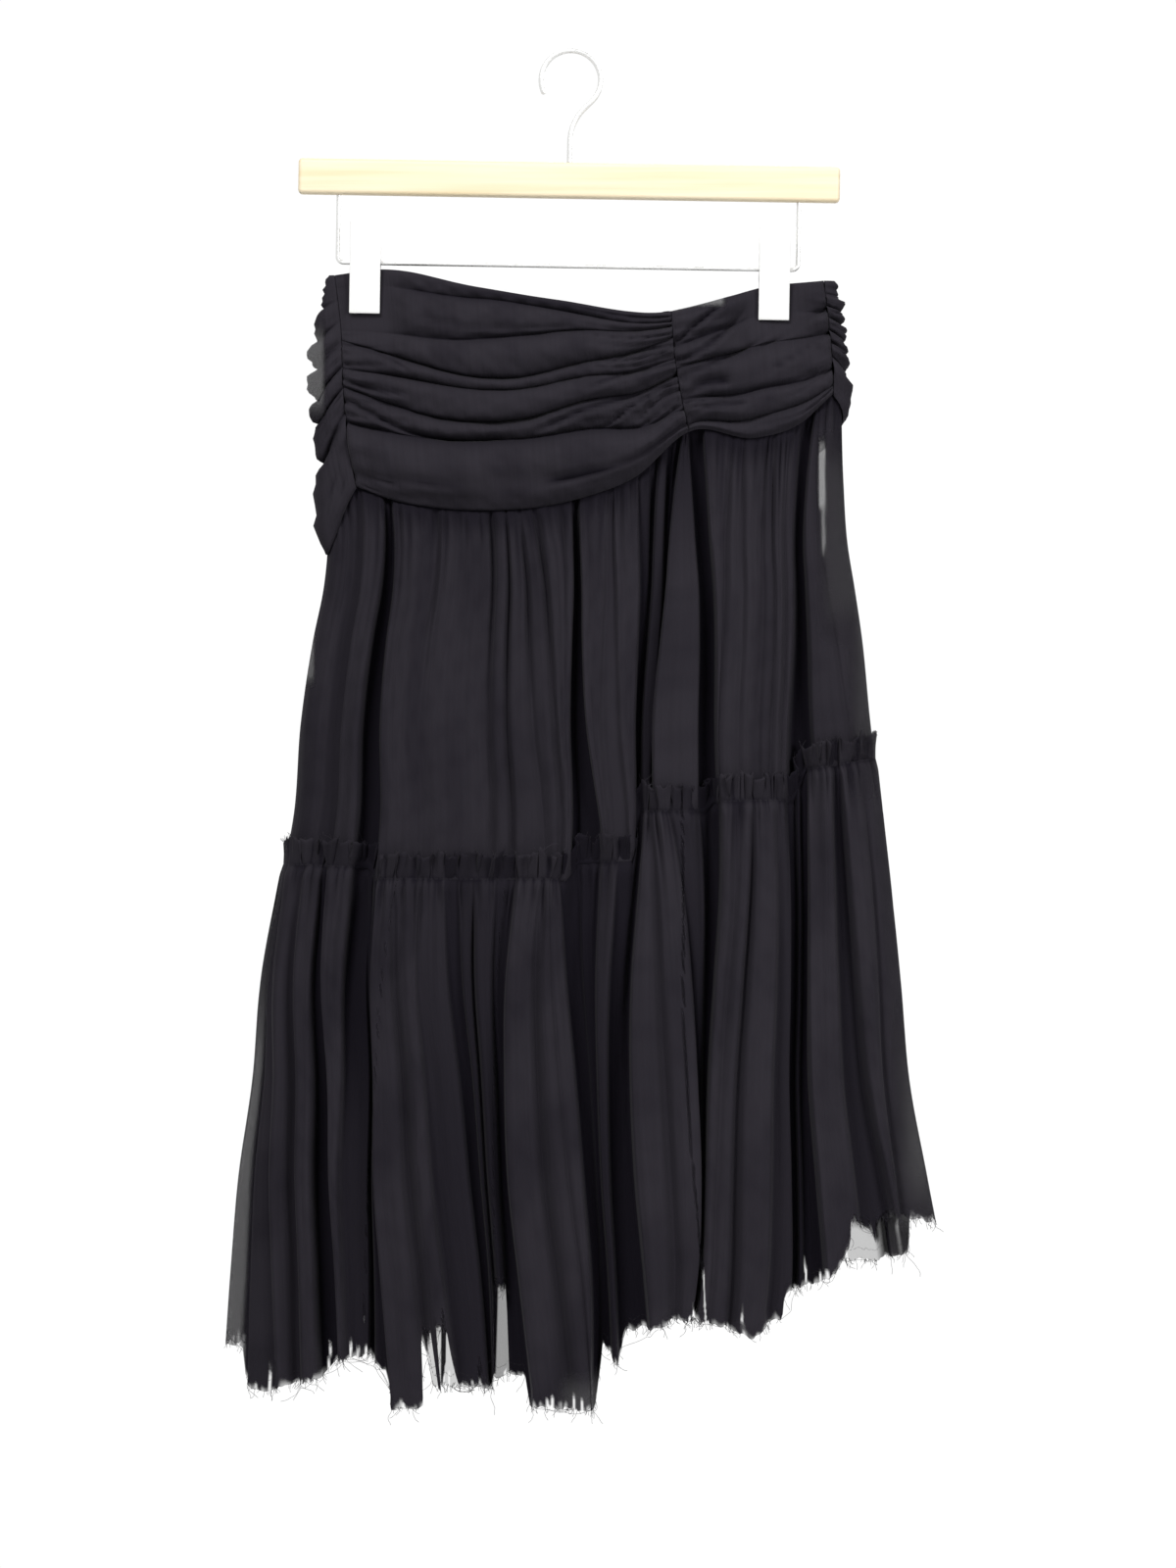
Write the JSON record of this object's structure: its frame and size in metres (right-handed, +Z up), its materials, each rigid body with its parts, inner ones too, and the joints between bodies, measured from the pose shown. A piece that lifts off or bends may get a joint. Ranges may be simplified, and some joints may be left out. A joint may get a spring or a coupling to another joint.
{
  "type": "asymmetric tiered skirt on a clip hanger",
  "caption": "Knee-length skirt with a ruched yoke, gathered tiers and a slanting raw hem, hung by clips from a wooden bar hanger.",
  "frame": {"origin": "the inner top of the hanger's hook, where it hangs on a rail", "axes": "+Z up, +X to the right as seen from the front, the front of the skirt towards -Y"},
  "size_m": [0.498, 0.168, 0.9559],
  "materials": {
    "cloth": "matt sheer black chiffon",
    "wood": "pale varnished wood",
    "steel": "bright plated wire",
    "clip": "white moulded clip"
  },
  "bodies": {
    "root": {"hanger_hook": "steel", "hanger_bar": "wood", "hanger_rod": "steel", "clip_left": "clip", "clip_right": "clip", "yoke_front_left": "cloth", "yoke_front_right": "cloth", "yoke_back": "cloth", "upper_tier_front": "cloth", "lower_tier_front": "cloth", "upper_tier_back": "cloth", "lower_tier_back": "cloth"}
  },
  "joints": []
}
